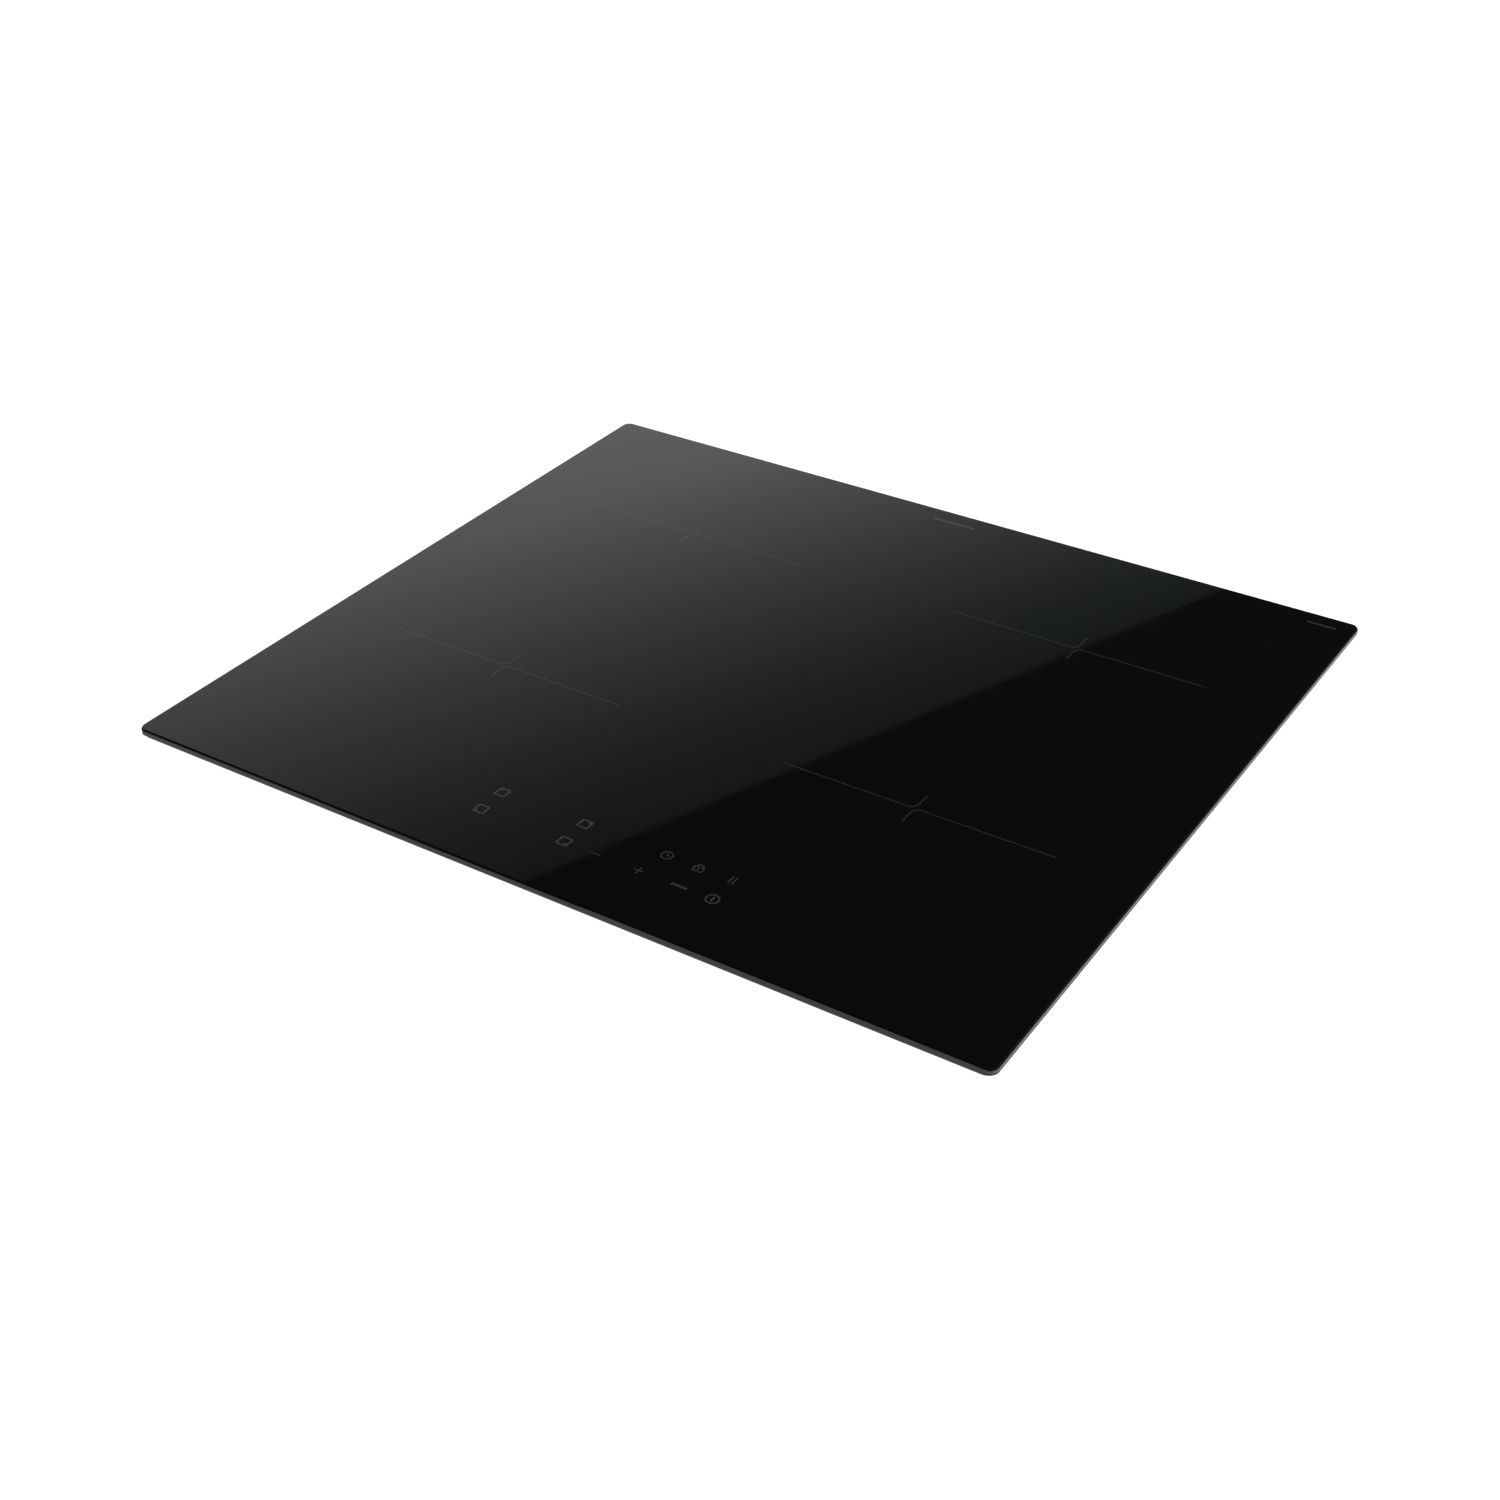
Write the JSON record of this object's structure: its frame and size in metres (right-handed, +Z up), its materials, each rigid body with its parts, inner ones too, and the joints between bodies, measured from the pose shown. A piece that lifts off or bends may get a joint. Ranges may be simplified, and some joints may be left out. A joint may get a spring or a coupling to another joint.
{
  "type": "induction cooktop",
  "caption": "Built-in induction hob: black glass-ceramic plate with zone marks and touch symbols over a shallow steel tray that holds sprung coils, power boards and fans.",
  "frame": {"origin": "centre of the underside of the housing tray", "axes": "+X to the user's right along the long side, +Y to the rear edge, -Y to the user, +Z up through the glass"},
  "size_m": [0.59, 0.52, 0.058],
  "materials": {
    "glass_ceramic": "black glass-ceramic, polished, ground edge",
    "silicone_bond": "black silicone",
    "foam_seal": "closed-cell foam",
    "galvanised_sheet": "galvanised, matt",
    "deck_sheet": "mill finish",
    "zinc_screw": "zinc plated",
    "tray_plastic": "moulded, off-white",
    "board_laminate": "solder mask over glass-fibre laminate",
    "sink_aluminium": "extruded, plain",
    "board_component": "moulded component cases",
    "transistor_epoxy": "black epoxy",
    "fan_plastic": "black glass-filled plastic",
    "carrier_plastic": "heat-resistant moulding",
    "litz_copper": "enamelled litz wire",
    "ferrite": "sintered, dark grey",
    "mica": "pressed mica paper",
    "sensor_can": "sensor can",
    "spring_steel": "drawn spring wire",
    "conductive_foam": "conductive foam",
    "holder_plastic": "moulded, white",
    "display_block": "display module",
    "terminal_plastic": "black moulding",
    "terminal_ceramic": "cream moulding",
    "nickel_screw": "nickel-plated brass",
    "gland_rubber": "moulded rubber",
    "lead_insulation": "silicone lead insulation",
    "clamp_steel": "zinc plated spring steel"
  },
  "bodies": {
    "housing": {"board_parts_left": "board_component", "board_parts_right": "board_component", "board_trays": "tray_plastic", "cable_clamp": "tray_plastic", "cable_gland": "gland_rubber", "clamp_rods": "zinc_screw", "coil_deck": "deck_sheet", "coil_springs_front_left": "spring_steel", "coil_springs_front_right": "spring_steel", "coil_springs_rear_left": "spring_steel", "coil_springs_rear_right": "spring_steel", "control_board": "board_laminate", "control_holder": "holder_plastic", "deck_screws": "zinc_screw", "fan_frame_left": "fan_plastic", "fan_frame_right": "fan_plastic", "glass_bond": "silicone_bond", "glass_plate": "glass_ceramic", "heat_sink_left": "sink_aluminium", "heat_sink_right": "sink_aluminium", "housing_tray": "galvanised_sheet", "led_displays": "display_block", "power_board_left": "board_laminate", "power_board_right": "board_laminate", "supply_leads": "lead_insulation", "terminal_block": "terminal_ceramic", "terminal_box": "terminal_plastic", "terminal_screws": "nickel_screw", "touch_posts": "conductive_foam", "transistors": "transistor_epoxy", "worktop_seal": "foam_seal"},
    "fan_left": {"fan_rotor_left": "fan_plastic"},
    "fan_right": {"fan_rotor_right": "fan_plastic"},
    "coil_rear_left": {"coil_carrier_rear_left": "carrier_plastic", "litz_winding_rear_left": "litz_copper", "ferrite_bars_rear_left": "ferrite", "mica_disc_rear_left": "mica", "temp_sensor_rear_left": "sensor_can"},
    "coil_rear_right": {"coil_carrier_rear_right": "carrier_plastic", "litz_winding_rear_right": "litz_copper", "ferrite_bars_rear_right": "ferrite", "mica_disc_rear_right": "mica", "temp_sensor_rear_right": "sensor_can"},
    "coil_front_left": {"coil_carrier_front_left": "carrier_plastic", "litz_winding_front_left": "litz_copper", "ferrite_bars_front_left": "ferrite", "mica_disc_front_left": "mica", "temp_sensor_front_left": "sensor_can"},
    "coil_front_right": {"coil_carrier_front_right": "carrier_plastic", "litz_winding_front_right": "litz_copper", "ferrite_bars_front_right": "ferrite", "mica_disc_front_right": "mica", "temp_sensor_front_right": "sensor_can"},
    "clamp_rear_left": {"worktop_clamp_rear_left": "clamp_steel"},
    "clamp_rear_right": {"worktop_clamp_rear_right": "clamp_steel"},
    "clamp_front_left": {"worktop_clamp_front_left": "clamp_steel"},
    "clamp_front_right": {"worktop_clamp_front_right": "clamp_steel"},
    "terminal_lid": {"terminal_cover": "terminal_plastic"}
  },
  "joints": [
    {"name": "fan_left_spin", "type": "hinge", "parent": "housing", "child": "fan_left", "pos_m": [-0.11, 0.175, 0.012], "axis": [0, 0, 1], "continuous": true},
    {"name": "fan_right_spin", "type": "hinge", "parent": "housing", "child": "fan_right", "pos_m": [0.11, 0.175, 0.012], "axis": [0, 0, 1], "continuous": true},
    {"name": "coil_rear_left_float", "type": "slide", "parent": "housing", "child": "coil_rear_left", "axis": [0, 0, 1], "range_m": [-0.003, 0], "stiffness_N_per_m": 6000, "springref_m": 0.004, "deforming": ["coil_springs_rear_left"]},
    {"name": "coil_rear_right_float", "type": "slide", "parent": "housing", "child": "coil_rear_right", "axis": [0, 0, 1], "range_m": [-0.003, 0], "stiffness_N_per_m": 6000, "springref_m": 0.004, "deforming": ["coil_springs_rear_right"]},
    {"name": "coil_front_left_float", "type": "slide", "parent": "housing", "child": "coil_front_left", "axis": [0, 0, 1], "range_m": [-0.003, 0], "stiffness_N_per_m": 6000, "springref_m": 0.004, "deforming": ["coil_springs_front_left"]},
    {"name": "coil_front_right_float", "type": "slide", "parent": "housing", "child": "coil_front_right", "axis": [0, 0, 1], "range_m": [-0.003, 0], "stiffness_N_per_m": 6000, "springref_m": 0.004, "deforming": ["coil_springs_front_right"]},
    {"name": "clamp_rear_left_swing", "type": "hinge", "parent": "housing", "child": "clamp_rear_left", "pos_m": [-0.275, 0.19, 0.0095], "axis": [0, 0, -1], "range_deg": [0, 90]},
    {"name": "clamp_rear_right_swing", "type": "hinge", "parent": "housing", "child": "clamp_rear_right", "pos_m": [0.275, 0.19, 0.0095], "axis": [0, 0, 1], "range_deg": [0, 90]},
    {"name": "clamp_front_left_swing", "type": "hinge", "parent": "housing", "child": "clamp_front_left", "pos_m": [-0.275, -0.19, 0.0095], "axis": [0, 0, 1], "range_deg": [0, 90]},
    {"name": "clamp_front_right_swing", "type": "hinge", "parent": "housing", "child": "clamp_front_right", "pos_m": [0.275, -0.19, 0.0095], "axis": [0, 0, -1], "range_deg": [0, 90]},
    {"name": "terminal_lid_hinge", "type": "hinge", "parent": "housing", "child": "terminal_lid", "pos_m": [-0.014, 0.239, 0.0044], "axis": [-1, 0, 0], "range_deg": [0, 90]}
  ]
}
